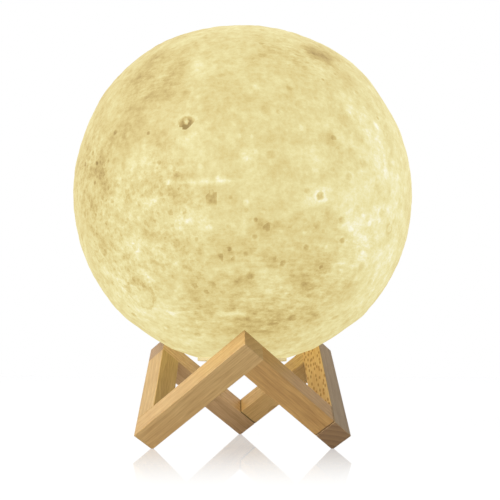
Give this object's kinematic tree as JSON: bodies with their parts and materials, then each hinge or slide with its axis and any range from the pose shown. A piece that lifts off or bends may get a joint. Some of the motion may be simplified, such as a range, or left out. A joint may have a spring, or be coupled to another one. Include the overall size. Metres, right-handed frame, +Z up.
{
  "type": "moon lamp",
  "caption": "Round moon-shaped rechargeable lamp whose printed globe rests on a zigzag ring of square beech rails and lifts off to reach its touch ring and charging port.",
  "frame": {"origin": "on the floor under the globe's axis, which is the centre of the stand's three feet", "axes": "+Z up along the globe's axis; -Y towards the front high corner of the stand; +X to the right seen from the front"},
  "size_m": [0.15, 0.15, 0.1837],
  "materials": {
    "beech": "sanded, oiled",
    "shade_pla": "printed in layers, lit from inside",
    "white_abs": "moulded, satin",
    "chromed_brass": "polished",
    "light_pipe": "clear, polished",
    "port_steel": "stamped, plated",
    "black_plastic": "moulded",
    "frosted_polycarbonate": "frosted",
    "green_circuit_board": "solder mask",
    "white_circuit_board": "solder mask",
    "chip_epoxy": "moulded",
    "ceramic_parts": "fired",
    "led_package": "clear resin",
    "nylon_connector": "moulded",
    "cell_foil": "laminated foil",
    "foam_tape": "closed foam",
    "red_insulation": "extruded",
    "black_insulation": "extruded",
    "white_insulation": "extruded",
    "yellow_insulation": "extruded",
    "warm_phosphor": "phosphor gel",
    "white_phosphor": "phosphor gel",
    "zinc_steel": "zinc plated"
  },
  "bodies": {
    "stand": {"front_left_rail": "beech", "front_right_rail": "beech", "right_rail": "beech", "back_right_rail": "beech", "back_left_rail": "beech", "left_rail": "beech", "apex_dowels": "beech", "foot_pegs": "beech"},
    "touch_ring": {"touch_ring": "chromed_brass"},
    "globe": {"moon_shade": "shade_pla", "mouth_ring": "white_abs", "base_cap": "white_abs", "indicator_lens": "light_pipe", "port_shell": "port_steel", "port_tongue": "black_plastic", "base_cup": "white_abs", "led_dome": "frosted_polycarbonate", "control_board": "green_circuit_board", "touch_controller": "chip_epoxy", "charge_controller": "chip_epoxy", "board_parts": "ceramic_parts", "indicator_led": "led_package", "battery_socket": "nylon_connector", "battery_plug": "nylon_connector", "battery_cell": "cell_foil", "cell_board": "green_circuit_board", "battery_pad": "foam_tape", "battery_lead_red": "red_insulation", "battery_lead_black": "black_insulation", "led_leads": "white_insulation", "touch_lead": "yellow_insulation", "led_board": "white_circuit_board", "warm_leds": "warm_phosphor", "white_leds": "white_phosphor", "base_screws": "zinc_steel", "board_screws": "zinc_steel", "led_board_screws": "zinc_steel"}
  },
  "joints": [
    {"name": "globe_lift", "type": "slide", "parent": "stand", "child": "touch_ring", "axis": [0, 0, 1], "range_m": [0, 0.1]},
    {"name": "globe_turn", "type": "hinge", "parent": "touch_ring", "child": "globe", "pos_m": [0, 0, 0.10869], "axis": [0, 0, 1], "continuous": true}
  ]
}
